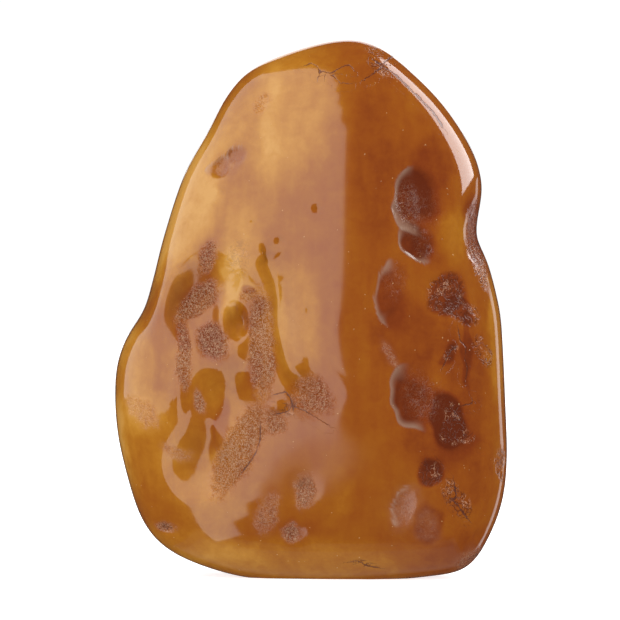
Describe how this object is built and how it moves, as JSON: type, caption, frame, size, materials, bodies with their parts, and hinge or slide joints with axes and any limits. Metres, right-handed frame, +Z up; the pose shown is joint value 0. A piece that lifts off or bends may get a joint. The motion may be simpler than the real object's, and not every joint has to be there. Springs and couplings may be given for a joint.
{
  "type": "polished amber",
  "caption": "Upright polished lump of opaque butterscotch amber, with worn hollows on both faces and a small ground flat to stand on.",
  "frame": {"origin": "on the surface that the stone stands on, in the middle of its width and of its depth", "axes": "+Z up along the height, +X to the right and -Y out of the face with the deepest hollows"},
  "size_m": [0.0656, 0.0386, 0.09],
  "materials": {
    "amber": "polished"
  },
  "bodies": {
    "root": {"amber": "amber"}
  },
  "joints": []
}
